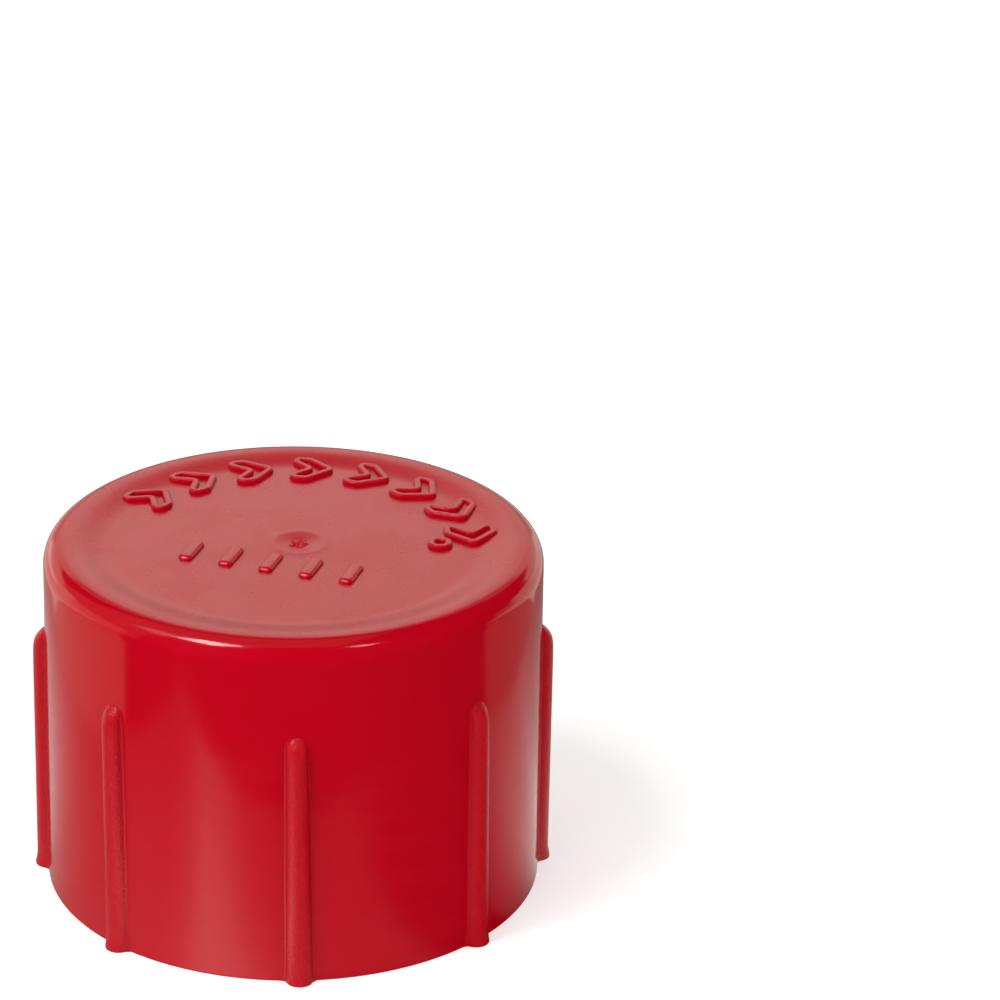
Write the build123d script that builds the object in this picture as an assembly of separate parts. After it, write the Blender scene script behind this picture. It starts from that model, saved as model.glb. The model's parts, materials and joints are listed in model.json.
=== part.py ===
from build123d import *
import math
import os

# Threaded protection cap for a 1 3/16-12 male thread, moulded in one piece.
# Millimetres. The rim round the mouth lies on the plane Z = 0, the cap's axis is
# +Z and its closed end is up. One grip rib faces -Y.

# The male thread that the cap covers
thread_major_diameter = 30.16
thread_pitch = 25.4 / 12

# Inside: a plain pilot at the mouth, a shoulder, the thread, then a drafted bore
pilot_clearance = 0.17          # radial, over the crests of the male thread
pilot_depth = 3.4
shoulder_angle = 45.0
groove_clearance = 0.07         # radial, over the crests of the male thread
groove_depth = 0.45
groove_mouth_width = 0.95
groove_flank_angle = 30.0
groove_turns = 3.8              # at full depth
runout_turns = 0.25             # while the groove fades into the wall
bore_draft_angle = 1.0
floor_corner_chamfer = 0.6

# Outside
wall_thickness = 0.95
end_thickness = 1.5             # of the closed end, inside its dish
overall_height = 23.4
top_edge_radius = 1.45

# Dish in the closed end: a flat floor, a gentle slope and a narrow crest
dish_depth = 0.3
dish_slope_width = 2.2
dish_crest_setback = 0.3        # from the rounding of the top edge in to the crest

# Grip ribs: each tapers from a wide foot to a ball nose
rib_count = 8
rib_length = 17.15              # from the mouth to the tip of the nose
rib_foot_height = 0.86          # proud of the wall at the mouth
rib_nose_height = 0.74          # and where the nose begins
rib_foot_radius = 0.87
rib_nose_radius = 0.65
rib_foot_blend = 0.35           # radius of the blend into the wall at the foot
rib_nose_blend = 0.12           # and at the nose
rib_blend_sink = 0.01           # how far the blends run on into the wall

# Moulding gate at the middle of the closed end
gate_hollow_diameter = 3.4
gate_hollow_depth = 0.15
gate_stub_diameter = 0.9
gate_stub_height = 0.12

# Worked out from the sizes above
male_crest_radius = thread_major_diameter / 2
pilot_radius = male_crest_radius + pilot_clearance
outer_radius = pilot_radius + wall_thickness
groove_root_radius = male_crest_radius + groove_clearance
crest_radius = groove_root_radius - groove_depth
shoulder_top = pilot_depth + (pilot_radius - crest_radius) / math.tan(math.radians(shoulder_angle))
dish_floor_level = overall_height - dish_depth
cavity_depth = dish_floor_level - end_thickness

# The groove's cutter reaches past the crests, so that it leaves no skin there
cutter_reach = 0.35
flank_slope = math.tan(math.radians(groove_flank_angle))
cutter_half_width = groove_mouth_width / 2 + cutter_reach * flank_slope
groove_start = pilot_depth - cutter_half_width
runout_start = groove_start + groove_turns * thread_pitch
runout_lift = groove_depth * 1.05   # so that the tail ends clear of the wall
thread_end = runout_start + runout_turns * thread_pitch + groove_mouth_width


def half_section(*points):
    """Face in the XZ plane, closed through (radius, height) points."""
    return Plane.XZ * make_face(Polyline(*points, close=True))


def corner(section, radius, height):
    """The vertex of a half section that lies nearest to a radius and a height."""
    place = Vector(radius, 0, height)
    return section.vertices().sort_by_distance(place)[0]


def filled_body():
    """The outside without its ribs: plain wall, round top edge and dished end."""
    crest = outer_radius - top_edge_radius - dish_crest_setback
    section = half_section(
        (0, 0),
        (outer_radius, 0),
        (outer_radius, overall_height),
        (crest, overall_height),
        (crest - dish_slope_width, dish_floor_level),
        (0, dish_floor_level),
    )
    top_edge = corner(section, outer_radius, overall_height)
    section = fillet(top_edge, top_edge_radius)
    seam_between_ribs = -90 + 180 / rib_count
    return revolve(section, Axis.Z).rotate(Axis.Z, seam_between_ribs)


def rib_blend(crest_centre, crest_radius, blend_radius, side):
    """Arc that rolls from a rib's crest onto the wall, on one side of the rib."""
    wall = outer_radius - rib_blend_sink
    reach = wall + blend_radius
    crest_reach = crest_radius + blend_radius
    swing = math.acos((crest_centre**2 + reach**2 - crest_reach**2) / (2 * crest_centre * reach))
    centre = Vector(reach * math.cos(swing), side * reach * math.sin(swing))
    to_wall = -centre.normalized()
    to_crest = (Vector(crest_centre, 0) - centre).normalized()
    halfway = (to_wall + to_crest).normalized()
    return ThreePointArc(
        centre + to_crest * blend_radius,
        centre + halfway * blend_radius,
        centre + to_wall * blend_radius,
    )


def rib_section(height, reach, crest_radius, blend_radius):
    """Level section of the +X rib: a round crest, a blend on each side and a root in the wall."""
    crest_centre = reach - crest_radius
    left = rib_blend(crest_centre, crest_radius, blend_radius, -1)
    right = rib_blend(crest_centre, crest_radius, blend_radius, 1)
    crest = ThreePointArc(left @ 0, (reach, 0), right @ 0)
    inward = Vector(-wall_thickness / 2, 0)
    root = Polyline(right @ 1, right @ 1 + inward, left @ 1 + inward, left @ 1)
    outline = Wire([*left.edges(), *crest.edges(), *right.edges(), *root.edges()])
    return Plane.XY.offset(height) * Face(outline)


def grip_rib():
    """One rib on the +X side: a bar lofted from its foot to its nose, and a ball on the end."""
    ball_height = rib_length - rib_nose_radius
    nose_reach = outer_radius + rib_nose_height
    foot = rib_section(0, outer_radius + rib_foot_height, rib_foot_radius, rib_foot_blend)
    nose = rib_section(ball_height, nose_reach, rib_nose_radius, rib_nose_blend)
    bar = loft([foot, nose], ruled=True)
    ball = Rot(0, 90, 0) * Sphere(rib_nose_radius)
    return bar + Pos(nose_reach - rib_nose_radius, 0, ball_height) * ball


def outside():
    """The filled body with its ring of ribs."""
    rib = grip_rib()
    ribs = [rib.rotate(Axis.Z, -90 + number * 360 / rib_count) for number in range(rib_count)]
    return filled_body() + ribs


def cavity():
    """The hollow of the cap before its thread is cut."""
    narrowing = (cavity_depth - thread_end) * math.tan(math.radians(bore_draft_angle))
    floor_radius = crest_radius - narrowing
    section = half_section(
        (0, 0),
        (pilot_radius, 0),
        (pilot_radius, pilot_depth),
        (crest_radius, shoulder_top),
        (crest_radius, thread_end),
        (floor_radius, cavity_depth),
        (0, cavity_depth),
    )
    floor_corner = corner(section, floor_radius, cavity_depth)
    section = chamfer(floor_corner, floor_corner_chamfer)
    return revolve(section, Axis.Z)


def groove_section():
    """The cutter's trapezium, on the crest line at the +X side."""
    half_root_width = groove_mouth_width / 2 - groove_depth * flank_slope
    tip = crest_radius + groove_depth
    back = crest_radius - cutter_reach
    return half_section(
        (back, -cutter_half_width),
        (tip, -half_root_width),
        (tip, half_root_width),
        (back, cutter_half_width),
    )


def thread_groove():
    """Right-hand groove: open to the pilot, then at full depth, then fading out."""
    full_path = Helix(thread_pitch, groove_turns * thread_pitch, crest_radius)
    full = sweep(groove_section(), path=full_path, is_frenet=True)

    runout_height = runout_turns * thread_pitch
    lift_angle = math.degrees(math.atan(runout_lift / runout_height))
    fading_path = Helix(thread_pitch, runout_height, crest_radius, cone_angle=-lift_angle)
    fading = sweep(groove_section(), path=fading_path, is_frenet=True)
    fading = fading.rotate(Axis.Z, groove_turns * 360)
    fading = Pos(0, 0, groove_turns * thread_pitch) * fading
    return Pos(0, 0, groove_start) * (full + fading)


def gate_hollow():
    """Shallow spherical hollow that keeps the gate's stub below the dish."""
    half = gate_hollow_diameter / 2
    sphere_radius = (half**2 + gate_hollow_depth**2) / (2 * gate_hollow_depth)
    return Pos(0, 0, dish_floor_level - gate_hollow_depth + sphere_radius) * Sphere(sphere_radius)


def gate_stub():
    """What is left of the sprue at the bottom of the hollow."""
    standing = (Align.CENTER, Align.CENTER, Align.MAX)
    top = dish_floor_level - gate_hollow_depth + gate_stub_height
    return Pos(0, 0, top) * Cylinder(gate_stub_diameter / 2, end_thickness / 2, align=standing)


def protection_cap():
    """The whole cap as one solid."""
    cap = outside() - cavity() - thread_groove() - gate_hollow() + gate_stub()
    return cap.solid()


cap = protection_cap()
cap.label = "cap"
os.makedirs("parts", exist_ok=True)
export_step(cap, "parts/cap.step")
print(f"cap: volume {cap.volume:.1f} mm3, thread from {shoulder_top:.2f} to {thread_end:.2f} mm,")
print(f"crest radius {crest_radius:.3f} mm, cavity {cavity_depth:.2f} mm deep")
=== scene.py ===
import json
import math

import bmesh
import bpy
import numpy as np
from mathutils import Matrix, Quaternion, Vector, noise


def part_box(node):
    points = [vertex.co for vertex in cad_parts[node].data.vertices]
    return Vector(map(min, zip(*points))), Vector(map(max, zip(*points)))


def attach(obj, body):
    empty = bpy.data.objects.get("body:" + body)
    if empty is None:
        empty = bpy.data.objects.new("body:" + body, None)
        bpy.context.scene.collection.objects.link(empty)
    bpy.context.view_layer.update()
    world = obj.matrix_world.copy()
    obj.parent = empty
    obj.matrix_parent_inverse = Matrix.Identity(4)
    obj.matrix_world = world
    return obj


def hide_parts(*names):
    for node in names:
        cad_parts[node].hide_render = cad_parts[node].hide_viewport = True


bl_info = {
    "name": "Threaded protection cap",
    "version": (1, 0, 0),
    "blender": (4, 5, 0),
    "location": "3D View > Sidebar > Protection Cap",
    "description": "Builds the moulded red cap around its packed frame, with its stage",
    "category": "Add Mesh",
}

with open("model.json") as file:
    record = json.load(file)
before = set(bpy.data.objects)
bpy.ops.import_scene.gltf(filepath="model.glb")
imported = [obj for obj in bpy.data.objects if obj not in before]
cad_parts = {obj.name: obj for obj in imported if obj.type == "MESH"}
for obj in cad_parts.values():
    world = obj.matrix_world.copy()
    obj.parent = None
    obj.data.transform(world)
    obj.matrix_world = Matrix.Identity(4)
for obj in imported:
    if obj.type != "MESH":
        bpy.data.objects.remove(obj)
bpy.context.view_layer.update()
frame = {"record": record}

# The cap stands on its mouth at Z = 0, with its axis on +Z and one rib towards -Y, where the
# camera is. Everything below is in the frame's metres. MM turns millimetres into them.
MM = 0.001
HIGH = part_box("cap")[1]
HEIGHT = HIGH.z
REACH = HIGH.x      # from the axis to the foot of a rib
MOUNTS = {mount["name"]: mount["dims"] for mount in frame["record"]["mounts"]}
CREST = MOUNTS["thread"]["r_mm"] * MM
PILOT = MOUNTS["pilot"]["r_mm"] * MM
PILOT_DEPTH = MOUNTS["pilot"]["length_mm"] * MM


# ---------------------------------------------------------------- settings


def length(label, text, default):
    """A setting measured in metres."""
    return bpy.props.FloatProperty(
        name=label, description=text, default=default, precision=6, unit="LENGTH"
    )


def angle(label, text, degrees):
    """A setting measured as an angle."""
    return bpy.props.FloatProperty(
        name=label, description=text, default=math.radians(degrees), subtype="ANGLE"
    )


def count(label, text, default):
    """A whole number of things."""
    return bpy.props.IntProperty(name=label, description=text, default=default, min=1)


def turns(label, text, default):
    """A number of turns about the axis."""
    return bpy.props.FloatProperty(name=label, description=text, default=default, min=0.0)


def place(label, text, default):
    """A place on the closed end, seen from above, in metres from the axis."""
    return bpy.props.FloatVectorProperty(
        name=label, description=text, default=default, size=2, precision=6, unit="LENGTH"
    )


def colour(label, text, default):
    """An sRGB colour written as a hex value."""
    return bpy.props.StringProperty(name=label, description=text, default=default)


def group(label, kind):
    """A group of settings."""
    return bpy.props.PointerProperty(name=label, description=kind.__doc__, type=kind)


class CapSizes(bpy.types.PropertyGroup):
    """Sizes of the moulding that the frame doesn't give"""

    foot_height: length("Foot height", "How far a rib's foot stands proud of the wall", 0.86 * MM)
    wall_draft: length("Wall draft", "How much the wall draws in up to the top edge", 0.084 * MM)
    top_edge: length("Top edge", "Radius that rounds the closed end into the wall", 1.45 * MM)
    rim_edge: length("Rim edge", "Radius that breaks both edges of the mouth", 0.07 * MM)
    dish_depth: length("Dish depth", "How deep the closed end is dished", 0.3 * MM)
    dish_floor: length("Dish floor", "Radius of the dish's flat floor", 11.9 * MM)
    dish_crest: length("Dish crest", "Radius at which the dish meets the top edge", 14.4 * MM)
    cavity_depth: length("Cavity depth", "From the mouth to the floor inside", 21.6 * MM)
    floor_corner: length("Floor corner", "Radius of the corner round the floor inside", 1.0 * MM)
    bore_narrowing: length("Bore narrowing", "How much the bore draws in above the thread", 0.163 * MM)


class GateSizes(bpy.types.PropertyGroup):
    """Sizes of the gate at the middle of the closed end, where the plastic came in"""

    offset: length("Offset", "How far the gate lies off the axis", 0.3 * MM)
    hollow: length("Hollow", "Radius of the shallow hollow round the gate", 1.7 * MM)
    depth: length("Depth", "Depth of that hollow", 0.15 * MM)
    lip: length("Lip", "How far the hollow's edge stands up", 0.03 * MM)
    lip_width: length("Lip width", "How far that edge spreads to each side", 0.25 * MM)
    stub: length("Stub", "Radius of what is left of the sprue", 0.52 * MM)
    ragged: length("Ragged", "How much that radius varies round the stub", 0.3 * MM)
    stub_height: length("Stub height", "How far the stub stands above the hollow", 0.12 * MM)
    torn: length("Torn", "How much the height of its torn end varies", 0.1 * MM)
    tear: length("Tear", "Size of the crumbs on its torn end", 0.16 * MM)


class RibSizes(bpy.types.PropertyGroup):
    """Sizes of the grip ribs"""

    number: count("Number", "Ribs round the wall", 8)
    nose_height: length("Nose height", "Height at which a rib's round nose begins", 16.5 * MM)
    foot_radius: length("Foot radius", "Radius of the crest at the mouth", 0.87 * MM)
    nose_radius: length("Nose radius", "Radius of the crest at the nose", 0.65 * MM)
    blend: length("Blend", "Radius that rolls a rib into the wall", 0.16 * MM)
    flare: length("Flare", "Radius of that blend where it opens at the mouth", 0.45 * MM)
    flare_height: length("Flare height", "How far up the blend has closed again", 1.15 * MM)
    lip: length("Lip", "How far the foot's edge is swollen outwards", 0.13 * MM)
    lip_height: length("Lip height", "How far up the swelling goes", 1.3 * MM)
    nose_slope: length("Nose slope", "Length over which the nose comes down to the wall", 0.95 * MM)
    twist: angle("Twist", "How far unscrewing the core has turned the noses", 0.7)


class ThreadSizes(bpy.types.PropertyGroup):
    """Sizes of the right-hand thread inside the mouth"""

    pitch: length("Pitch", "From one groove to the next", 25.4 * MM / 12)
    depth: length("Depth", "Depth of the groove under the crests", 0.45 * MM)
    mouth: length("Mouth", "Width of the groove at the crests", 0.95 * MM)
    flank: angle("Flank", "Slope of the groove's sides", 30)
    start: length("Start", "Height of the groove's middle where it begins", 2.723 * MM)
    end: length("End", "Height at which the threaded stretch ends", 12.25 * MM)
    turns: turns("Turns", "Turns at full depth", 3.8)
    fading: turns("Fading", "Turns while the groove fades into the wall", 0.25)


class MarkSizes(bpy.types.PropertyGroup):
    """Sizes of the raised marks on the closed end"""

    chevrons: count("Chevrons", "Outlined chevrons in the arc", 8)
    first: angle("First", "Where the arc of chevrons begins", 4)
    last: angle("Last", "Where the arc of chevrons ends", 143)
    radius: length("Radius", "Radius of the arc's middle", 11.5 * MM)
    tall: length("Tall", "Size of a chevron across the arc", 3.0 * MM)
    lean: length("Lean", "How far a chevron points ahead", 1.5 * MM)
    band: length("Band", "Width of a chevron's band between its two ridges", 1.35 * MM)
    corner: length("Corner", "Radius that rounds the corners of a chevron", 0.3 * MM)
    ridge: length("Ridge", "Width of the raised ridge", 0.42 * MM)
    relief: length("Relief", "How far the marks stand above the dish", 0.28 * MM)
    sunk: length("Sunk", "How far the marks reach down into the closed end", 0.15 * MM)
    ring_place: length("Ring place", "How far the small ring lies from the axis", 9.4 * MM)
    ring_turn: angle("Ring turn", "Direction in which the small ring lies", -4)
    ring_size: length("Ring size", "Diameter of the small ring", 1.15 * MM)
    bars: count("Bars", "Plain bars in the row", 5)
    row_start: place("Row start", "Middle of the first bar", (-6.6 * MM, -1.3 * MM))
    row_end: place("Row end", "Middle of the last bar", (3.5 * MM, -5.1 * MM))
    bar_length: length("Bar length", "Length of a bar in the row", 2.9 * MM)
    bar_width: length("Bar width", "Width of a bar in the row", 0.8 * MM)
    bar_relief: length("Bar relief", "How far the bars stand above the dish", 0.25 * MM)


class Finishes(bpy.types.PropertyGroup):
    """Colours of the moulding and of the stage"""

    body: colour("Body", "Red of the polyethylene", "#BD0019")
    paper: colour("Paper", "White of the floor", "#F4F4F2")


class CapSettings(bpy.types.PropertyGroup):
    """All settings of the cap"""

    cap: group("Cap", CapSizes)
    gate: group("Gate", GateSizes)
    ribs: group("Ribs", RibSizes)
    thread: group("Thread", ThreadSizes)
    marks: group("Marks", MarkSizes)
    finishes: group("Finishes", Finishes)


# ---------------------------------------------------------------- small helpers


def linear(hex_colour):
    """sRGB hex to linear red, green, blue and alpha."""
    parts = [int(hex_colour[i : i + 2], 16) / 255 for i in (1, 3, 5)]
    return (*(c / 12.92 if c <= 0.04045 else ((c + 0.055) / 1.055) ** 2.4 for c in parts), 1.0)


def smooth(t):
    """Soft step from 0 to 1."""
    t = min(max(t, 0.0), 1.0)
    return t * t * (3 - 2 * t)


def direction(azimuth, elevation):
    """Unit vector from degrees round from the front, anticlockwise from above, and up."""
    turn, rise = math.radians(azimuth), math.radians(elevation)
    return Vector((math.sin(turn) * math.cos(rise), -math.cos(turn) * math.cos(rise), math.sin(rise)))


def add_node(tree, kind, inputs=None, **settings):
    """Adds a node with its settings. Each input is a value, a socket or a node's first output."""
    node = tree.nodes.new(kind)
    for name, value in settings.items():
        setattr(node, name, value)
    for key, value in (inputs or {}).items():
        if isinstance(value, bpy.types.Node):
            value = value.outputs[0]
        if isinstance(value, bpy.types.NodeSocket):
            tree.links.new(value, node.inputs[key])
        else:
            node.inputs[key].default_value = value
    return node


def arithmetic(tree, operation, *values, **settings):
    """A node that works out one number from others."""
    inputs = dict(enumerate(values))
    return add_node(tree, "ShaderNodeMath", inputs, operation=operation, **settings)


def remapped(tree, value, source, target):
    """A node that maps one range of numbers onto another, and holds at both ends."""
    inputs = {"Value": value, "From Min": source[0], "From Max": source[1]}
    inputs |= {"To Min": target[0], "To Max": target[1]}
    return add_node(tree, "ShaderNodeMapRange", inputs)


def greys(tree, value, stops):
    """A ramp of greys through (place, grey) pairs, as a socket."""
    node = add_node(tree, "ShaderNodeValToRGB", {"Fac": value})
    ramp = node.color_ramp
    while len(ramp.elements) < len(stops):
        ramp.elements.new(1.0)
    for element, (at, grey) in zip(ramp.elements, stops):
        element.position = at
        element.color = (grey, grey, grey, 1.0)
    return node.outputs["Color"]


def blank_material(name):
    """A new material with nothing in its node tree, and that tree."""
    material = bpy.data.materials.new(name)
    material.use_nodes = True
    material.node_tree.nodes.clear()
    return material, material.node_tree


def new_tree(name, sockets):
    """A Geometry Nodes tree with named inputs, and its input and output nodes."""
    tree = bpy.data.node_groups.new(name, "GeometryNodeTree")
    tree.interface.new_socket("Geometry", in_out="INPUT", socket_type="NodeSocketGeometry")
    tree.interface.new_socket("Geometry", in_out="OUTPUT", socket_type="NodeSocketGeometry")
    for label, kind in sockets.items():
        tree.interface.new_socket(label, in_out="INPUT", socket_type="NodeSocket" + kind)
    return tree, add_node(tree, "NodeGroupInput"), add_node(tree, "NodeGroupOutput")


def grown(name, base, tree, values):
    """The plain mesh that a Geometry Nodes tree makes of a base mesh."""
    holder = bpy.data.objects.new(name + "_base", base)
    bpy.context.scene.collection.objects.link(holder)
    modifier = holder.modifiers.new(name, "NODES")
    modifier.node_group = tree
    for item in tree.interface.items_tree:
        if item.in_out == "INPUT" and item.name in values:
            modifier[item.identifier] = values[item.name]
    graph = bpy.context.evaluated_depsgraph_get()
    mesh = bpy.data.meshes.new_from_object(holder.evaluated_get(graph), depsgraph=graph)
    holder.modifiers.remove(modifier)
    bpy.data.objects.remove(holder)
    if not mesh.polygons:
        raise RuntimeError(f"{name}: the tree made no faces")
    return mesh


def set_grain(mesh, grain):
    """Gives each point of a mesh its grain, from one value or from one for each."""
    values = np.broadcast_to(np.asarray(grain, np.float32).ravel(), len(mesh.vertices))
    mesh.attributes.new("grain", "FLOAT", "POINT").data.foreach_set("value", values.copy())


def grid_mesh(name, rows, grain):
    """A mesh of quads from rows of points."""
    height, width = rows.shape[:2]
    index = np.arange(height * width).reshape(height, width)
    corners = (index[:-1, :-1], index[:-1, 1:], index[1:, 1:], index[1:, :-1])
    faces = np.stack(corners, axis=-1).reshape(-1, 4)
    mesh = bpy.data.meshes.new(name)
    mesh.from_pydata(rows.reshape(-1, 3).tolist(), [], faces.tolist())
    set_grain(mesh, grain)
    return mesh


def finished_piece(name, meshes, material, weld):
    """Joins meshes into one closed, smooth piece that rides on the frame."""
    joined = bmesh.new()
    for mesh in meshes:
        joined.from_mesh(mesh)
    bmesh.ops.remove_doubles(joined, verts=joined.verts, dist=weld)
    bmesh.ops.recalc_face_normals(joined, faces=joined.faces)
    if any(edge.is_boundary for edge in joined.edges):
        raise RuntimeError(f"{name}: the piece isn't closed")
    for face in joined.faces:
        face.smooth = True
    mesh = bpy.data.meshes.new(name)
    joined.to_mesh(mesh)
    joined.free()
    mesh.materials.clear()
    mesh.materials.append(material)
    piece = bpy.data.objects.new(name, mesh)
    bpy.context.scene.collection.objects.link(piece)
    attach(piece, "root")
    return piece


# ---------------------------------------------------------------- plastic

# How grained the mould left each surface. Every mesh carries this as its attribute "grain".
WALL_GRAIN = 0.0
BORE_GRAIN = 0.15
RIM_EDGE_GRAIN = 0.2
RIM_GRAIN = 0.3
END_GRAIN = 0.6
MARK_GRAIN = 0.8
RIB_GRAIN = 1.0

# Real sizes of the pattern on the surface
GRAIN_PIT = 0.13 * MM
WAVE_GAP = 1.0 * MM
WORN_PATCH = 4.0 * MM


def moulded_polyethylene(finishes):
    """Injection-moulded low-density polyethylene, coloured red right through.

    The mould was spark eroded at the closed end and in the slots of the ribs, so these come out
    finely pitted and dull. Its wall was turned and polished, so the wall shines, with faint level
    waves low down. Light sinks in a little and comes back redder, which softens the edges.
    """
    name = "moulded_polyethylene_red"
    if name in bpy.data.materials:
        return bpy.data.materials[name]
    material, tree = blank_material(name)
    here = add_node(tree, "ShaderNodeTexCoord").outputs["Object"]
    grain = add_node(tree, "ShaderNodeAttribute", attribute_name="grain").outputs["Fac"]

    # Pits of the spark erosion: deep on the ribs, fainter on the marks and the closed end
    pits = add_node(
        tree, "ShaderNodeTexNoise", {"Vector": here, "Scale": 1 / GRAIN_PIT, "Detail": 2.0}
    )
    deep = arithmetic(tree, "POWER", grain, 4.0)
    pitted = remapped(tree, deep, (0.0, 1.0), (0.03, 1.0))
    pits_bump = add_node(
        tree,
        "ShaderNodeBump",
        {"Height": pits.outputs["Fac"], "Strength": pitted, "Distance": 0.05 * MM},
    )

    # Level waves that turning left in the mould, several times as long as they are wide. They
    # fade out above the middle of the wall, and wherever the surface is grained.
    drawn_out = add_node(tree, "ShaderNodeMapping", {"Vector": here, "Scale": (0.15, 0.15, 1.0)})
    waves = add_node(
        tree, "ShaderNodeTexNoise", {"Vector": drawn_out, "Scale": 1 / WAVE_GAP, "Detail": 2.0}
    )
    height = add_node(tree, "ShaderNodeSeparateXYZ", {"Vector": here}).outputs["Z"]
    low = remapped(tree, height, (0.5 * HEIGHT, 0.8 * HEIGHT), (1.0, 0.0))
    polished = remapped(tree, grain, (0.0, RIM_EDGE_GRAIN), (1.0, 0.0))
    wavy = arithmetic(tree, "MULTIPLY", low, polished)
    waves_bump = add_node(
        tree,
        "ShaderNodeBump",
        {
            "Height": waves.outputs["Fac"],
            "Strength": wavy,
            "Distance": 0.015 * MM,
            "Normal": pits_bump.outputs["Normal"],
        },
    )

    # The closed end is the dullest and the wall the shiniest. Handling has left patches that
    # are a little smoother, and the crests of the waves are duller than their troughs.
    stops = ((WALL_GRAIN, 0.12), (END_GRAIN, 0.27), (MARK_GRAIN, 0.19), (RIB_GRAIN, 0.25))
    dullness = greys(tree, grain, stops)
    patches = add_node(
        tree, "ShaderNodeTexNoise", {"Vector": here, "Scale": 1 / WORN_PATCH, "Detail": 4.0}
    )
    worn = remapped(tree, patches.outputs["Fac"], (0.3, 0.7), (0.9, 1.1))
    handled = arithmetic(tree, "MULTIPLY", dullness, worn)
    dull_crests = remapped(tree, waves.outputs["Fac"], (0.45, 0.58), (0.0, 0.04))
    roughness = arithmetic(tree, "MULTIPLY_ADD", dull_crests, wavy, handled)
    shader = add_node(
        tree,
        "ShaderNodeBsdfPrincipled",
        {
            "Base Color": linear(finishes.body),
            "Roughness": roughness,
            "IOR": 1.5,
            "Normal": waves_bump.outputs["Normal"],
            "Subsurface Weight": 0.35,
            "Subsurface Radius": (1.0, 0.15, 0.1),
            "Subsurface Scale": 0.8 * MM,
        },
    )
    add_node(tree, "ShaderNodeOutputMaterial", {"Surface": shader})
    return material


# ---------------------------------------------------------------- outside of the cap

# A row runs across one sector. Steps on each side of a rib: over its crest, down its blend,
# then shares of the way from its root to the middle between two ribs.
CREST_STEPS = 7
BLEND_STEPS = 5
RIB_STEPS = CREST_STEPS + BLEND_STEPS
WALL_SHARES = (0.012, 0.04, 0.09, 0.18, 0.3, 0.44, 0.58, 0.72, 0.86, 1.0)
HALF = RIB_STEPS + len(WALL_SHARES)
COLUMNS = np.arange(-HALF, HALF + 1)

# Steps of the quarter rounds and of the dish's slope
RIM_STEPS = 4
TOP_EDGE_STEPS = 14
DISH_STEPS = 12
FLOOR_CORNER_STEPS = 8


def placed(angles, radii, heights):
    """Points from angles about the axis, zero at the rib on the -Y side."""
    angles, radii, heights = np.broadcast_arrays(angles, radii, heights)
    return np.stack([radii * np.sin(angles), -radii * np.cos(angles), heights], axis=-1)


def wall_radius(cap, height):
    """Radius of the wall, which draws in a little towards the closed end."""
    return REACH - cap.foot_height - cap.wall_draft * height / (HEIGHT - cap.top_edge)


def nose_share(ribs, height):
    """How much of a rib's height is left at a level: all of it but for the slope of the nose."""
    below = (ribs.nose_height + ribs.nose_radius + ribs.blend - height) / ribs.nose_slope
    below = max(below, 0.0)
    return below / (1 + below**4) ** 0.25


def rib_profile(cap, ribs, height, inset=0.0):
    """Half a level section, from a rib's middle to its root: angles and radii about the axis."""
    share = height / ribs.nose_height
    swelling = ribs.lip * (1 - smooth(height / ribs.lip_height)) ** 2
    reach = REACH - ribs.lip + swelling - inset
    crest = ribs.foot_radius + (ribs.nose_radius - ribs.foot_radius) * share - inset
    opening = 1 - smooth(height / ribs.flare_height)
    blend = ribs.blend + (ribs.flare - ribs.blend) * opening**2 + inset
    wall = wall_radius(cap, height) - inset

    # The blend touches the crest's circle and the wall's, which gives its centre
    middle = reach - crest
    far = wall + blend
    swing = math.acos((middle**2 + far**2 - (crest + blend) ** 2) / (2 * middle * far))
    centre = np.array([far * math.sin(swing), far * math.cos(swing)])
    lean = math.atan2(centre[0], centre[1] - middle)
    turn = np.linspace(0, lean, CREST_STEPS + 1)
    over = np.stack([crest * np.sin(turn), middle + crest * np.cos(turn)], axis=1)
    turn = np.linspace(lean + math.pi, swing + math.pi, BLEND_STEPS + 1)[1:]
    root = centre + blend * np.stack([np.sin(turn), np.cos(turn)], axis=1)
    points = np.concatenate([over, root])
    radii = np.hypot(points[:, 0], points[:, 1])
    radii = wall + (radii - wall) * nose_share(ribs, height)
    return np.arctan2(points[:, 0], points[:, 1]), radii


def both_sides(half, odd):
    """A whole row from its right half; odd values change sign on the left."""
    mirrored = -half[:0:-1] if odd else half[:0:-1]
    return np.concatenate([mirrored, half])


def rib_row(cap, ribs, height, inset=0.0):
    """One level row across a sector: wall, rib, wall."""
    angles, radii = rib_profile(cap, ribs, height, inset)
    gap = math.pi / ribs.number - angles[-1]
    wall = np.full(len(WALL_SHARES), wall_radius(cap, height) - inset)
    angles = np.concatenate([angles, angles[-1] + gap * np.array(WALL_SHARES)])
    radii = np.concatenate([radii, wall])
    return placed(both_sides(angles, True), both_sides(radii, False), height)


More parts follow.
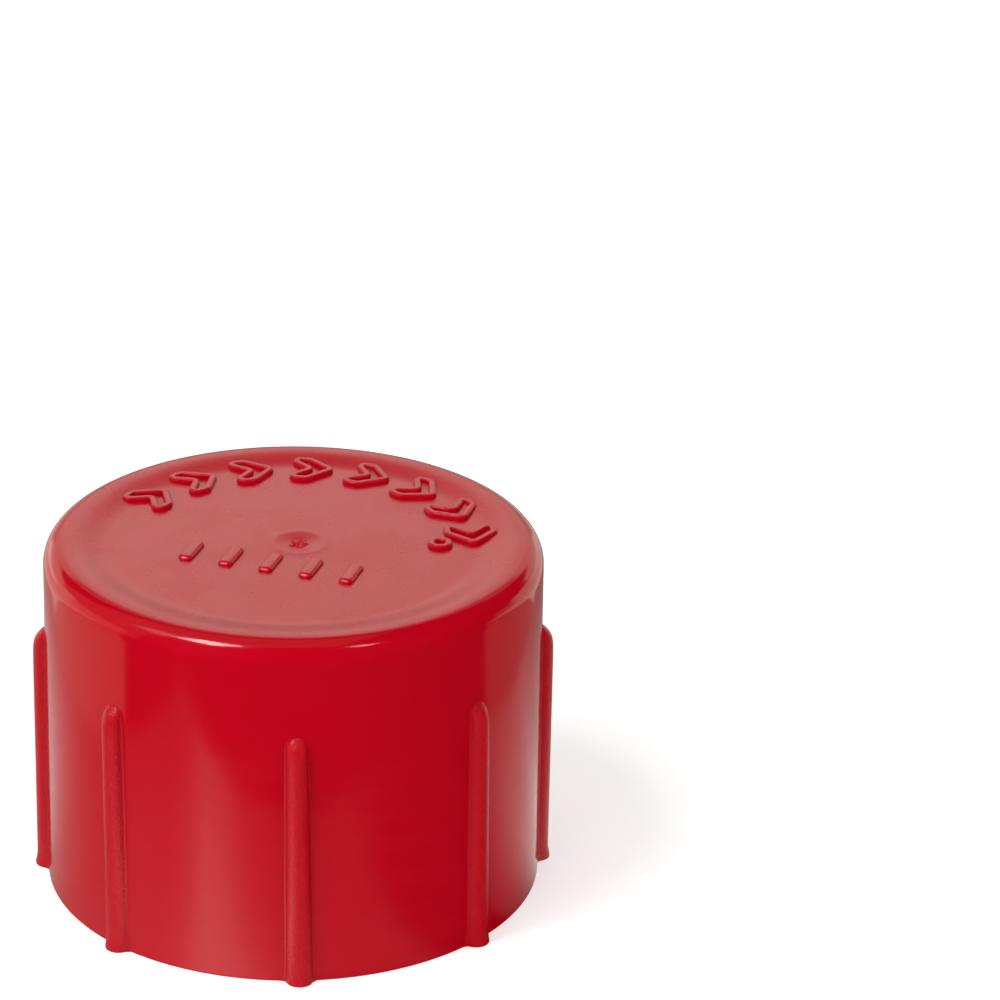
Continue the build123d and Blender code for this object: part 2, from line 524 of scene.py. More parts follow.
def nose_rows(cap, ribs, top):
    """Rows from the nose's start up to the top edge, bent round the nose and eased straight.

    Rows and columns close in rings round the nose's middle. On the rib a ring is a half circle;
    past its root the rings open out to the straight edges of the sector.
    """
    angles, radii = rib_profile(cap, ribs, ribs.nose_height)
    wall = wall_radius(cap, ribs.nose_height)
    across = radii * np.sin(angles)
    rows = []
    for row in range(1, HALF + 1):
        points = []
        for column in COLUMNS:
            ring = max(abs(column), row)
            side = math.copysign(1, column) if column else 0
            # Where the point lies on its ring, and on the sector's edge that the ring opens to
            if abs(column) >= row:
                climb = math.pi / 4 * row / ring
                edge = (side, row / ring)
            else:
                climb = math.pi / 2 - math.pi / 4 * abs(column) / ring
                edge = (column / ring, 1.0)
            inner = min(ring, RIB_STEPS)
            turn = angles[inner] * math.cos(climb) * (side or 1)
            height = ribs.nose_height + across[inner] * math.sin(climb)
            if ring > RIB_STEPS:
                share = WALL_SHARES[ring - RIB_STEPS - 1]
                turn += (edge[0] * math.pi / ribs.number - turn) * share
                height += (ribs.nose_height + edge[1] * (top - ribs.nose_height) - height) * share
            proud = radii[inner] - wall if ring < RIB_STEPS else 0.0
            proud *= nose_share(ribs, height) / nose_share(ribs, ribs.nose_height)
            points.append(placed(turn, wall_radius(cap, height) + proud, height))
        rows.append(np.array(points))
    return rows


def end_profile(cap, gate):
    """Radius and height of the closed end, from the top of the wall in to the gate's disc."""
    start = wall_radius(cap, HEIGHT - cap.top_edge) - cap.top_edge
    for step in range(1, TOP_EDGE_STEPS + 1):
        turn = math.pi / 2 * step / TOP_EDGE_STEPS
        yield start + cap.top_edge * math.cos(turn), HEIGHT - cap.top_edge * (1 - math.sin(turn))
    width = cap.dish_crest - cap.dish_floor
    for step in range(DISH_STEPS + 1):
        radius = cap.dish_crest - width * step / DISH_STEPS
        yield radius, HEIGHT - cap.dish_depth * (1 - smooth((radius - cap.dish_floor) / width))
    for share in (0.04, 0.15, 0.3, 0.5, 0.7, 0.85, 1.0):
        radius = cap.dish_floor + (2 * gate.hollow - cap.dish_floor) * share
        yield radius, HEIGHT - cap.dish_depth


def outside_sector(cap, gate, ribs):
    """One sector of the outside, from the pilot's edge round the rim and up to the gate's disc."""
    even = math.pi / ribs.number * COLUMNS / HALF
    edge = cap.rim_edge
    flat = 1.6 * edge               # the rim is flat from here on
    rows = []
    grains = []
    for step in range(RIM_STEPS + 1):
        turn = math.pi / 2 * step / RIM_STEPS
        rows.append(placed(even, PILOT + edge * (1 - math.cos(turn)), edge * (1 - math.sin(turn))))
    rows.append(placed(even, PILOT + flat, 0.0))
    rows.append(rib_row(cap, ribs, 0.0, flat))
    rows.append(rib_row(cap, ribs, 0.0, edge))
    grains += [RIM_GRAIN] * len(rows)
    for step in range(1, RIM_STEPS + 1):
        turn = math.pi / 2 * step / RIM_STEPS
        rows.append(rib_row(cap, ribs, edge * (1 - math.cos(turn)), edge * (1 - math.sin(turn))))
        grains.append(RIM_EDGE_GRAIN)

    # Rows stand close where the foot flares and where the nose slopes
    foot = np.array([0.1, 0.2, 0.3, 0.4, 0.5, 0.6, 0.75, 0.9, 1.05, 1.25, 2]) * ribs.flare_height
    bar = np.linspace(foot[-1], ribs.nose_height - 2 * ribs.nose_slope, 8)[1:]
    nose = np.linspace(bar[-1], ribs.nose_height, 14)[1:]
    wall = [rib_row(cap, ribs, height) for height in (*foot, *bar, *nose)]
    wall += nose_rows(cap, ribs, HEIGHT - cap.top_edge)
    rows += wall
    grains += [WALL_GRAIN] * len(wall)
    for radius, height in end_profile(cap, gate):
        rows.append(placed(even, radius, height))
        inside_edge = radius < REACH - cap.foot_height - cap.top_edge
        grains.append(END_GRAIN if inside_edge else WALL_GRAIN)

    # The ribs are grained from their roots on
    rows = np.array(rows)
    grains = np.repeat(np.array(grains)[:, None], len(COLUMNS), axis=1)
    proud = np.hypot(rows[..., 0], rows[..., 1]) - wall_radius(cap, rows[..., 2])
    on_rib = np.clip(proud / (0.04 * cap.foot_height), 0, 1) * RIB_GRAIN
    return grid_mesh("outside_sector", rows, np.maximum(grains, on_rib))


def repeated(tree, given, geometry):
    """Nodes that copy a geometry in a ring or a row and make the copies real."""
    index = add_node(tree, "GeometryNodeInputIndex")
    shift = add_node(
        tree,
        "ShaderNodeVectorMath",
        {"Vector": given.outputs["Shift"], "Scale": index},
        operation="SCALE",
    )
    points = add_node(
        tree, "GeometryNodePoints", {"Count": given.outputs["Number"], "Position": shift}
    )
    turn = arithmetic(
        tree, "MULTIPLY_ADD", index, given.outputs["Turn"], given.outputs["First Turn"]
    )
    rotation = add_node(tree, "ShaderNodeCombineXYZ", {"Z": turn})
    copies = add_node(
        tree,
        "GeometryNodeInstanceOnPoints",
        {"Points": points, "Instance": geometry, "Rotation": rotation},
    )
    return add_node(tree, "GeometryNodeRealizeInstances", {"Geometry": copies})


# Inputs that repeated reads
COPIES = {"Number": "Int", "First Turn": "Float", "Turn": "Float", "Shift": "Vector"}


def ring_tree():
    """Geometry Nodes: repeats a sector round the axis and welds the seams."""
    sockets = COPIES | {"Weld": "Float", "Material": "Material"}
    tree, given, result = new_tree("ring_of_sectors", sockets)
    welded = add_node(
        tree,
        "GeometryNodeMergeByDistance",
        {
            "Geometry": repeated(tree, given, given.outputs["Geometry"]),
            "Distance": given.outputs["Weld"],
        },
    )
    painted = add_node(
        tree, "GeometryNodeSetMaterial", {"Geometry": welded, "Material": given.outputs["Material"]}
    )
    tree.links.new(painted.outputs[0], result.inputs[0])
    return tree


def all_round(ribs):
    """Column angles of the whole circle, the same as the sectors have where they are even."""
    columns = 2 * HALF * ribs.number
    return np.linspace(0, 2 * math.pi, columns + 1) - math.pi / ribs.number


def gate_relief(gate, radius, turn):
    """Height of the gate's surface over the dish floor."""
    dip = gate.depth * (1 - smooth(radius / gate.hollow)) ** 1.2
    lip = gate.lip * math.exp(-(((radius - gate.hollow) / gate.lip_width) ** 2))
    # One noise makes the stub's outline ragged, another tears its end
    outward = Vector((math.cos(turn), math.sin(turn), 0))
    stub = gate.stub + gate.ragged * noise.noise(1.7 * outward + Vector((0, 0, 3.1)))
    crumbs = noise.noise(outward * (radius / gate.tear))
    # It stands at full height out to 0.7 of its radius, then slopes down
    stands = 1 - smooth((radius - 0.7 * stub) / (0.45 * stub))
    return lip - dip + stands * (gate.stub_height + gate.torn * crumbs)


def gate_disc(cap, gate, ribs):
    """The middle of the closed end: a shallow hollow with what is left of the sprue in it."""
    circle = all_round(ribs)
    floor = HEIGHT - cap.dish_depth
    # Shares of the disc's radius, closer together over the stub
    shares = np.array([1.0, 0.85, 0.7, 0.6, 0.55, 0.5, 0.45, 0.4, 0.35, 0.3, 0.27, 0.24, 0.21])
    shares = np.concatenate([shares, np.linspace(0.18, 0.0, 13)])
    rows = []
    for share in shares:
        radius = 2 * gate.hollow * share
        drift = gate.offset * smooth((1 - share) / 0.4)
        heights = [floor + gate_relief(gate, radius, turn) for turn in circle]
        rows.append(placed(circle, radius, heights) + np.array([drift, 0, 0]))
    rows = np.array(rows)
    rows[0, :, 2] = floor
    rows[-1] = rows[-1].mean(axis=0)
    return grid_mesh("gate_disc", rows, END_GRAIN)


# ---------------------------------------------------------------- inside of the cap


def groove_depth(thread, heights, climb):
    """How deep the groove cuts below the crests at given heights and angles."""
    steepness = 1 / math.tan(thread.flank)
    whole = thread.turns + thread.fading
    deepest = np.zeros_like(heights)
    for lap in range(-1, int(whole) + 2):
        along = climb / (2 * math.pi) + lap
        middle = thread.start + thread.pitch * along
        depth = (thread.mouth / 2 - np.abs(heights - middle)) * steepness
        fade = np.clip((whole - along) / thread.fading, 0, 1)
        depth = np.minimum(depth, thread.depth) - thread.depth * (1 - fade)
        deepest = np.maximum(deepest, np.where(along >= 0, depth, 0))
    return deepest


def bore_radius(thread, heights, climb):
    """Radius of the hollow up to the end of the thread."""
    shoulder = np.maximum(PILOT - (heights - PILOT_DEPTH), CREST)
    return np.maximum(shoulder, CREST + groove_depth(thread, heights, climb))


def inside_mesh(cap, ribs, thread):
    """The hollow: pilot, shoulder, thread, drafted bore, round corner and floor."""
    # The thread's rows climb with it, from the +X side round
    circle = all_round(ribs)
    climb = np.mod(circle - math.pi / 2, 2 * math.pi)
    start = int(np.argmin(climb[:-1]))
    order = np.concatenate([np.arange(start, len(circle) - 1), np.arange(0, start + 1)])
    circle = circle[order]
    climb = np.linspace(climb[start], climb[start] + 2 * math.pi, len(circle))

    edge = cap.rim_edge
    shoulder_top = PILOT_DEPTH + PILOT - CREST
    pilot = (edge, 2.5 * edge, 1 * MM, 2 * MM, PILOT_DEPTH - 0.1 * MM)
    rows = [placed(circle, PILOT, height) for height in pilot]
    for level in np.linspace(PILOT_DEPTH, shoulder_top, 8):
        heights = np.full(len(circle), level)
        rows.append(placed(circle, bore_radius(thread, heights, climb), heights))

    # Two rows stand close to each edge of the groove, which softens it
    half = thread.mouth / 2
    root = half - thread.depth * math.tan(thread.flank)
    soft = 0.05 * MM
    offsets = (-half - soft, -half + soft, -root - soft, -root + soft)
    offsets = (*offsets, root - soft, root + soft, half - soft, half + soft, thread.pitch / 2)
    top = thread.end + 0.35 * MM    # the bore is plain from here on
    for lap in range(-2, int(thread.turns) + 3):
        for offset in offsets:
            heights = thread.start + thread.pitch * (lap + climb / (2 * math.pi)) + offset
            heights = np.clip(heights, shoulder_top, top)
            if np.ptp(heights) > 0:
                rows.append(placed(circle, bore_radius(thread, heights, climb), heights))
    rows.append(placed(circle, CREST, top))

    deep = cap.cavity_depth - cap.floor_corner
    for share in (0.02, 0.25, 0.5, 0.75, 0.98, 1.0):
        height = top + (deep - top) * share
        rows.append(placed(circle, CREST - cap.bore_narrowing * share, height))
    flat = CREST - cap.bore_narrowing - cap.floor_corner
    for step in range(1, FLOOR_CORNER_STEPS + 1):
        turn = math.pi / 2 * step / FLOOR_CORNER_STEPS
        radius = flat + cap.floor_corner * math.cos(turn)
        rows.append(placed(circle, radius, deep + cap.floor_corner * math.sin(turn)))
    for share in (0.99, 0.8, 0.6, 0.4, 0.2, 0.07, 0.02, 0.0):
        rows.append(placed(circle, flat * share, cap.cavity_depth))
    return grid_mesh("inside", np.array(rows), BORE_GRAIN)


def twist(mesh, ribs):
    """Turns the mesh a little about the axis, more with height, clockwise from above."""
    for vertex in mesh.vertices:
        share = min(vertex.co.z / ribs.nose_height, 1.0)
        vertex.co.rotate(Quaternion((0, 0, 1), -ribs.twist * share))


# ---------------------------------------------------------------- raised marks

# A ridge's foot is this much wider than its top, and its corners are rounded by this share of
# the top's width
FOOT_SHARE = 1.35
ROUNDING_SHARE = 0.28
RIDGE_STEP = 0.06 * MM              # from one section of a ridge to the next


def round_ends(tree, given):
    """Scale of a ridge's section along it: 1, or drawn in to a half circle at both ends."""
    along = add_node(tree, "GeometryNodeSplineParameter").outputs["Length"]
    whole = add_node(tree, "GeometryNodeSplineLength").outputs["Length"]
    rest = arithmetic(tree, "SUBTRACT", whole, along)
    nearest = arithmetic(tree, "MINIMUM", along, rest)
    half = arithmetic(tree, "MULTIPLY", given.outputs["Width"], 0.5)
    share = arithmetic(tree, "DIVIDE", nearest, half, use_clamp=True)
    left = arithmetic(tree, "SUBTRACT", 1.0, share)
    squared = arithmetic(tree, "POWER", left, 2.0)
    # A little over 1, so that the last section isn't a point
    under = arithmetic(tree, "SUBTRACT", 1.02, squared)
    taper = arithmetic(tree, "POWER", under, 0.5)
    return add_node(
        tree,
        "GeometryNodeSwitch",
        {"Switch": given.outputs["Round Ends"], "False": 1.0, "True": taper},
        input_type="FLOAT",
    )


def ridge_section(tree, given):
    """Section of a ridge: drafted sides and a soft top, with its foot on the line.

    Sweeping turns the section over, so the wide foot is the trapezium's top.
    """
    foot = arithmetic(tree, "MULTIPLY", given.outputs["Width"], FOOT_SHARE)
    section = add_node(
        tree,
        "GeometryNodeCurvePrimitiveQuadrilateral",
        {
            "Height": given.outputs["Tall"],
            "Bottom Width": given.outputs["Width"],
            "Top Width": foot,
            "Offset": 0.0,
        },
        mode="TRAPEZOID",
    )
    lift = arithmetic(tree, "MULTIPLY", given.outputs["Tall"], -0.5)
    move = add_node(tree, "ShaderNodeCombineXYZ", {"Y": lift})
    moved = add_node(tree, "GeometryNodeTransform", {"Geometry": section, "Translation": move})
    corner = arithmetic(tree, "MULTIPLY", given.outputs["Width"], ROUNDING_SHARE)
    return add_node(
        tree,
        "GeometryNodeFilletCurve",
        {"Curve": moved, "Count": 4, "Radius": corner, "Limit Radius": True},
        mode="POLY",
    )


def marks_tree():
    """Geometry Nodes: a rounded ridge along a line, repeated in a ring or a row."""
    sockets = {"Corner": "Float", "Width": "Float", "Tall": "Float", "Round Ends": "Bool"}
    sockets = sockets | COPIES | {"Material": "Material"}
    tree, given, result = new_tree("raised_marks", sockets)
    line = add_node(tree, "GeometryNodeMeshToCurve", {"Mesh": given.outputs["Geometry"]})
    bent = add_node(
        tree,
        "GeometryNodeFilletCurve",
        {"Curve": line, "Count": 5, "Radius": given.outputs["Corner"], "Limit Radius": True},
        mode="POLY",
    )
    fine = add_node(
        tree, "GeometryNodeResampleCurve", {"Curve": bent, "Length": RIDGE_STEP}, mode="LENGTH"
    )
    upright = add_node(tree, "GeometryNodeSetCurveNormal", {"Curve": fine}, mode="Z_UP")
    ridge = add_node(
        tree,
        "GeometryNodeCurveToMesh",
        {
            "Curve": upright,
            "Profile Curve": ridge_section(tree, given),
            "Scale": round_ends(tree, given),
            "Fill Caps": given.outputs["Round Ends"],
        },
    )
    painted = add_node(
        tree,
        "GeometryNodeSetMaterial",
        {"Geometry": repeated(tree, given, ridge), "Material": given.outputs["Material"]},
    )
    tree.links.new(painted.outputs[0], result.inputs[0])
    return tree


def line_mesh(name, points, level, closed=True):
    """A line through flat points at one level, as a mesh of edges."""
    mesh = bpy.data.meshes.new(name)
    edges = [(number, number + 1) for number in range(len(points) - 1)]
    if closed:
        edges.append((len(points) - 1, 0))
    mesh.from_pydata([(*point, level) for point in points], edges, [])
    return mesh


def chevron(marks):
    """Outline of one chevron on the +X side, pointing clockwise from above."""
    inner, outer = marks.radius - marks.tall / 2, marks.radius + marks.tall / 2
    front, back = -marks.lean / 2, marks.lean / 2
    tip = [(outer, back), (marks.radius, front), (inner, back)]
    tail = [(x, y + marks.band) for x, y in reversed(tip)]
    return [(x, y - marks.band / 2) for x, y in tip + tail]


def small_ring(marks):
    """Points of the small ring beside the first chevron."""
    middle = marks.ring_place * Vector((math.cos(marks.ring_turn), math.sin(marks.ring_turn)))
    angles = [math.radians(degrees) for degrees in range(0, 360, 15)]
    return [middle + marks.ring_size / 2 * Vector((math.cos(t), math.sin(t))) for t in angles]


def raised_marks(name, base, tree, material, values):
    """A piece made of raised marks."""
    mesh = grown(name, base, tree, values | {"Material": material})
    set_grain(mesh, MARK_GRAIN)
    return finished_piece(name, [mesh], material, 0.001 * MM)


# ---------------------------------------------------------------- stage

# The far side of the stage, where the cards behind the cap hang
BACK = 0.7

# Painted light on the table round the cap, seen only in reflections: degrees round from the front to
# the left, and strength
POOL_LEFT = (
    (0, 0.2),
    (20, 0.25),
    (30, 0.5),
    (38, 1.35),
    (43, 1.5),
    (48, 0.7),
    (54, 0.42),
    (75, 0.33),
    (90, 0.45),
    (110, 0.9),
    (140, 1.2),
    (180, 0.8),
)
# The same to the right, where the table is dark in front with the cap's painted shadow
POOL_RIGHT = (
    (0, 0.2),
    (16, 0.2),
    (24, 0.12),
    (32, 0.0),
    (56, 0.0),
    (60, 0.12),
    (72, 0.32),
    (88, 0.8),
    (110, 1.0),
    (120, 0.75),
    (180, 0.4),
)


def matt(name, hex_colour):
    """A matt stage surface."""
    material, tree = blank_material(name)
    paint = add_node(tree, "ShaderNodeBsdfDiffuse", {"Color": linear(hex_colour)})
    add_node(tree, "ShaderNodeOutputMaterial", {"Surface": paint})
    return material


def glowing(name, hex_colour, strength):
    """A stage surface that shines evenly."""
    material, tree = blank_material(name)
    light = {"Color": linear(hex_colour), "Strength": strength}
    glow = add_node(tree, "ShaderNodeEmission", light)
    add_node(tree, "ShaderNodeOutputMaterial", {"Surface": glow})
    return material


def white_paper(finishes):
    """Matt paper of the floor, a little brighter to the camera and in clear reflections."""
    material, tree = blank_material("white_paper")
    paint = add_node(tree, "ShaderNodeBsdfDiffuse", {"Color": linear(finishes.paper)})
    path = add_node(tree, "ShaderNodeLightPath")
    seen = arithmetic(tree, "MAXIMUM", path.outputs["Is Camera Ray"], path.outputs["Is Glossy Ray"])
    none = add_node(tree, "ShaderNodeEmission", {"Strength": 0.0})
    glow = add_node(tree, "ShaderNodeEmission", {"Strength": 0.45})
    glows = add_node(tree, "ShaderNodeMixShader", {0: seen, 1: none, 2: glow})
    both = add_node(tree, "ShaderNodeAddShader", {0: paint, 1: glows})
    add_node(tree, "ShaderNodeOutputMaterial", {"Surface": both})
    return material


def lit_pool():
    """Painted light on the table for reflections: bright streak front left, painted shadow front
    right.
    """
    material, tree = blank_material("lit_pool")
    here = add_node(tree, "ShaderNodeTexCoord").outputs["Object"]
    split = add_node(tree, "ShaderNodeSeparateXYZ", {"Vector": here})

    # Left of the cap's middle the painted streak points at a place 8 mm right of it
    shift = remapped(tree, split.outputs["X"], (0.0, 14 * MM), (-8 * MM, 0.0))
    across = arithmetic(tree, "ADD", split.outputs["X"], shift)
    ahead = arithmetic(tree, "MULTIPLY", split.outputs["Y"], -1.0)
    turn = arithmetic(tree, "ARCTAN2", across, ahead)
    share = arithmetic(tree, "MULTIPLY_ADD", turn, 0.5 / math.pi, 0.5)
    stops = [(0.5 - degrees / 360, grey) for degrees, grey in POOL_LEFT[::-1]]
    stops += [(0.5 + degrees / 360, grey) for degrees, grey in POOL_RIGHT[1:]]
    around = greys(tree, share, stops)

    # The painted light fades away from the cap
    out = add_node(tree, "ShaderNodeVectorMath", {0: here}, operation="LENGTH")
    fade = remapped(tree, out.outputs["Value"], (20 * MM, 50 * MM), (0.95, 0.32))
    strength = arithmetic(tree, "MULTIPLY", around, fade)
    light = {"Color": linear("#FFFDF6"), "Strength": strength}
    glow = add_node(tree, "ShaderNodeEmission", light)
    add_node(tree, "ShaderNodeOutputMaterial", {"Surface": glow})
    return material


def plain_card(name, corners, material):
    """A flat card of the stage, from its corners."""
    mesh = bpy.data.meshes.new(name)
    mesh.from_pydata(corners, [], [list(range(len(corners)))])
    mesh.materials.append(material)
    card = bpy.data.objects.new(name, mesh)
    bpy.context.scene.collection.objects.link(card)
    return card


def reflected_card(name, corners, material):
    """A card that only reflections see."""
    card = plain_card(name, corners, material)
    card.visible_camera = False
    card.visible_diffuse = False
    card.visible_shadow = False
    card.visible_transmission = False


def level_card(name, corners, level, material):
    """A level card that only reflections see."""
    reflected_card(name, [(*corner, level) for corner in corners], material)


def upright_card(name, start, end, low, high, strength):
    """A glowing card standing between two places on the floor, painted light that only reflections
    see.
    """
    corners = [(*start, low), (*end, low), (*end, high), (*start, high)]
    reflected_card(name, corners, glowing(name, "#FFFEF2", strength))


def square(left, near, right, far):
    """Corners of a level rectangle."""
    return [(left, near), (right, near), (right, far), (left, far)]


def lay_floor(finishes):
    """A plain pale floor. In its place reflections see painted shade, a black sheet, with glowing
    papers of painted light on it.
    """
    plain_card("floor", [(*corner, 0) for corner in square(-3, -3, 3, 3)], white_paper(finishes))
    shade_sheet_level, papers = 0.05 * MM, 0.1 * MM
    # Painted shade: a black sheet that only reflections see over the floor
    level_card("black_cloth", square(-3, -3, 3, 3), shade_sheet_level, matt("black_cloth", "#050505"))

    # The painted pool reaches far behind the cap, and in front of it has a notch on the right for the
    # cap's painted shadow
    side, near, far, deep = 0.041, -0.039, 0.12, -0.01
    pool = [(-side, near), (0.028, near), (0.018, deep), (0.043, deep), (0.043, far), (-side, far)]
    level_card("lit_pool", pool, papers, lit_pool())
    # Glowing papers that only reflections see: painted light on the table beside and behind the pool
    left = [(-side, -0.0145), (-side, 0.03), (-0.7, 0.03), (-0.7, -0.09)]
    level_card("left_paper", left, papers, glowing("left_paper", "#FFFAE0", 0.44))
    right = square(0.043, -0.006, 0.7, 0.03)
    level_card("right_paper", right, papers, glowing("right_paper", "#FFFAE0", 0.22))
    far_paper = glowing("far_paper", "#FFFCE8", 0.9)
    level_card("far_left_paper", square(-0.8, 0.03, -side, 0.8), papers, far_paper)
    level_card("far_right_paper", square(0.043, 0.03, 0.8, 0.8), papers, far_paper)


def hang_cards():
    """Cards of painted light behind, beside and over the cap: name, two places on the floor, low,
    high, light.
    """
    # Painted reflections on the closed end: brightest behind its middle and dimmer to the sides
    upright_card("backdrop", (-0.07, BACK), (0.07, BACK), 0.2, 0.47, 1.4)
    upright_card("backdrop_left", (-0.17, BACK), (-0.07, BACK), 0.2, 0.47, 0.95)
    upright_card("backdrop_right", (0.07, BACK), (0.18, BACK), 0.2, 0.47, 0.95)
    upright_card("far_backdrop_left", (-0.38, BACK), (-0.17, BACK), 0.2, 0.5, 0.78)
    upright_card("far_backdrop_right", (0.18, BACK), (0.44, BACK), 0.2, 0.5, 0.8)
    upright_card("over_backdrop", (-0.17, BACK), (0.18, BACK), 0.47, 0.53, 0.5)
    upright_card("over_all", (-0.38, BACK), (0.44, BACK), 0.53, 0.72, 0.3)

    # Lower ones, also to the sides, for painted reflections on the wall
    upright_card("back_middle", (-0.3, BACK), (0.3, BACK), 0, 0.2, 0.5)
    upright_card("back_left", (-0.8, 0.7), (-0.3, 0.71), 0, 0.38, 0.85)
    upright_card("back_left_low", (-0.79, 0.69), (-0.3, 0.69), 0, 0.12, 1.5)
    upright_card("back_right", (0.3, 0.71), (0.8, 0.7), 0, 0.38, 0.85)
    upright_card("back_right_low", (0.3, 0.69), (0.79, 0.69), 0, 0.12, 1.2)
    upright_card("left_rear", (-0.8, 0.4), (-0.8, 0.7), 0, 0.28, 1.0)
    upright_card("left_front", (-0.75, -0.12), (-0.8, 0.4), 0, 0.25, 0.62)
    upright_card("right_rear", (0.8, 0.7), (0.8, 0.33), 0, 0.24, 0.85)
    upright_card("right_front", (0.8, 0.33), (0.75, 0.1), 0, 0.16, 0.33)

    # Dim ones farther out, for painted reflections on the top edge
    upright_card("left_wall", (-1.0, -0.3), (-1.0, 0.9), 0, 1.0, 0.22)
    ceiling = glowing("ceiling", "#FFFEF2", 0.22)
    level_card("ceiling", square(-1.0, -0.25, 0.22, 0.7), 1.0, ceiling)


def light_world():
    """White surroundings for the camera, dim ones that light the cap, and darkness to reflect."""
    world = bpy.data.worlds.new("studio")
    bpy.context.scene.world = world
    world.use_nodes = True
    tree = world.node_tree
    tree.nodes.clear()
    path = add_node(tree, "ShaderNodeLightPath")
    dim = remapped(tree, path.outputs["Is Glossy Ray"], (0.0, 1.0), (0.4, 0.006))
    seen = arithmetic(tree, "MAXIMUM", path.outputs["Is Camera Ray"], dim)
    white = (1.0, 1.0, 1.0, 1.0)
    light = add_node(tree, "ShaderNodeBackground", {"Color": white, "Strength": seen})
    add_node(tree, "ShaderNodeOutputWorld", {"Surface": light})
    # Reflections see only what their own rays meet
    world.cycles.sampling_method = "NONE"


def hang_lamp(name, azimuth, elevation, distance, size, radiance):
    """A square soft lamp that faces the cap. A larger one of the same radiance gives more light."""
    data = bpy.data.lights.new(name, "AREA")
    data.shape = "SQUARE"
    data.size = size
    data.energy = math.pi * size * size * radiance
    lamp = bpy.data.objects.new(name, data)
    bpy.context.scene.collection.objects.link(lamp)
    away = direction(azimuth, elevation)
    lamp.location = Vector((0, 0, HEIGHT / 2)) + away * distance
    lamp.rotation_euler = away.to_track_quat("Z", "Y").to_euler()
    return lamp


def hang_lamps():
    """A key and a fill lamp that light the cap, and three small ones that glint on its top edge."""
    key = hang_lamp("key", azimuth=-45, elevation=25, distance=0.6, size=0.45, radiance=2.55)
    fill = hang_lamp("fill", azimuth=40, elevation=25, distance=0.6, size=0.45, radiance=1.3)
    # The cards stand for these two in reflections
    key.visible_glossy = False
    fill.visible_glossy = False
    hang_lamp("left_glint", azimuth=-62, elevation=62, distance=0.5, size=0.13, radiance=12.0)
    hang_lamp("left_glow", azimuth=-86, elevation=52, distance=0.5, size=0.12, radiance=1.2)
    hang_lamp("right_glint", azimuth=47, elevation=62, distance=0.5, size=0.06, radiance=6.0)


def set_camera(scene):
    """The camera looks down at the cap, which sits low and left in the view."""
    data = bpy.data.cameras.new("camera")
    data.lens = 162.0
    data.sensor_width = 36.0
    data.clip_start = 0.01
    camera = bpy.data.objects.new("camera", data)
    scene.collection.objects.link(camera)
    away = direction(-1.33, 26.5)
    aim = Vector((0, 0, 11.69 * MM))
    camera.location = aim + away * 295 * MM
    # From straight at the aim, the view is panned to the right and tilted up
    pan, tilt = math.radians(2.622), math.radians(2.558)
    sight = Vector((-math.tan(pan), -math.tan(tilt), -1)).normalized()
    offset = sight.rotation_difference(Vector((0, 0, -1)))
    camera.rotation_mode = "QUATERNION"
    camera.rotation_quaternion = away.to_track_quat("Z", "Y") @ offset
    scene.camera = camera


# ---------------------------------------------------------------- operators and panel


class CAP_OT_shell(bpy.types.Operator):
    """Builds the moulding itself: ribbed wall, dished end, rim and threaded bore"""

    bl_idname = "protection_cap.shell"
    bl_label = "Moulded Shell"

    def execute(self, context):
        settings = context.scene.protection_cap
        cap, gate, ribs = settings.cap, settings.gate, settings.ribs
        material = moulded_polyethylene(settings.finishes)
        weld = 0.0002 * MM
        values = {"Number": ribs.number, "Turn": 2 * math.pi / ribs.number}
        values |= {"Weld": weld, "Material": material}
        outside = grown("outside", outside_sector(cap, gate, ribs), ring_tree(), values)
        meshes = [outside, gate_disc(cap, gate, ribs), inside_mesh(cap, ribs, settings.thread)]
        for mesh in meshes:
            twist(mesh, ribs)
        shell = finished_piece("moulded_shell", meshes, material, weld)
        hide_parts("cap")
        return {"FINISHED"}


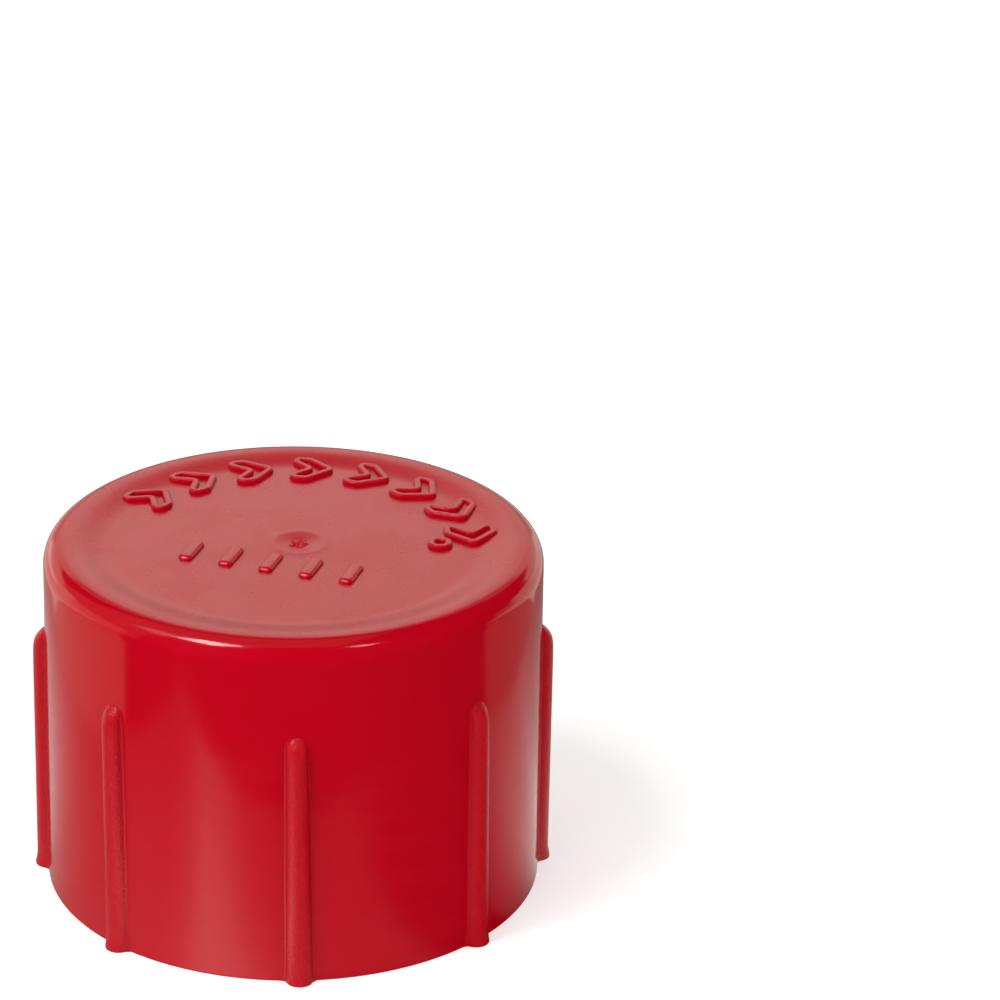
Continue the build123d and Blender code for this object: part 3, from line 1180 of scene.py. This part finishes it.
class CAP_OT_marks(bpy.types.Operator):
    """Raises plain marks on the closed end: an arc of outlined chevrons, a ring and a row of bars"""

    bl_idname = "protection_cap.marks"
    bl_label = "Raised Marks"

    def execute(self, context):
        settings = context.scene.protection_cap
        cap, marks = settings.cap, settings.marks
        material = moulded_polyethylene(settings.finishes)
        tree = marks_tree()
        level = HEIGHT - cap.dish_depth - marks.sunk
        ridge = {"Tall": marks.relief + marks.sunk, "Width": marks.ridge}

        arc = {"Number": marks.chevrons, "First Turn": marks.first, "Corner": marks.corner}
        arc["Turn"] = (marks.last - marks.first) / (marks.chevrons - 1)
        base = line_mesh("chevron", chevron(marks), level)
        raised_marks("raised_chevrons", base, tree, material, ridge | arc)

        base = line_mesh("ring", small_ring(marks), level)
        one = {"Number": 1, "Corner": 0.0}
        raised_marks("raised_ring", base, tree, material, ridge | one)

        start, end = Vector(marks.row_start), Vector(marks.row_end)
        step = (end - start) / (marks.bars - 1)
        across = Vector((-step.y, step.x)).normalized() * marks.bar_length / 2
        base = line_mesh("bar", [start - across, start + across], level, closed=False)
        row = {"Number": marks.bars, "Shift": (step.x, step.y, 0), "Round Ends": True}
        row |= {"Width": marks.bar_width, "Tall": marks.bar_relief + marks.sunk, "Corner": 0.0}
        raised_marks("raised_bars", base, tree, material, row)
        return {"FINISHED"}


class CAP_OT_stage(bpy.types.Operator):
    """Lays the floor, hangs the cards and lamps and sets up the camera"""

    bl_idname = "protection_cap.stage"
    bl_label = "Stage"

    def execute(self, context):
        lay_floor(context.scene.protection_cap.finishes)
        hang_cards()
        light_world()
        hang_lamps()
        set_camera(context.scene)
        context.scene.view_settings.view_transform = "Standard"
        return {"FINISHED"}


class CAP_PT_panel(bpy.types.Panel):
    """Lists the steps and the settings"""

    bl_idname = "CAP_PT_panel"
    bl_label = "Protection Cap"
    bl_space_type = "VIEW_3D"
    bl_region_type = "UI"
    bl_category = "Protection Cap"

    def draw(self, context):
        for step in STEPS:
            self.layout.operator(step.bl_idname)
        settings = context.scene.protection_cap
        for name in CapSettings.__annotations__:
            sizes = getattr(settings, name)
            box = self.layout.box()
            box.label(text=name.capitalize())
            for size in type(sizes).__annotations__:
                box.prop(sizes, size)


STEPS = (CAP_OT_shell, CAP_OT_marks, CAP_OT_stage)
GROUPS = (CapSizes, GateSizes, RibSizes, ThreadSizes, MarkSizes, Finishes, CapSettings)


def register():
    """Makes the settings, the steps and the panel known to Blender."""
    for each in (*GROUPS, *STEPS, CAP_PT_panel):
        bpy.utils.register_class(each)
    bpy.types.Scene.protection_cap = bpy.props.PointerProperty(type=CapSettings)


def unregister():
    """Takes them away again."""
    del bpy.types.Scene.protection_cap
    for each in reversed((*GROUPS, *STEPS, CAP_PT_panel)):
        bpy.utils.unregister_class(each)


def main():
    """Registers the add-on and runs its steps in order."""
    register()
    bpy.ops.protection_cap.shell()
    bpy.ops.protection_cap.marks()
    bpy.ops.protection_cap.stage()


if __name__ == "__main__":
    main()
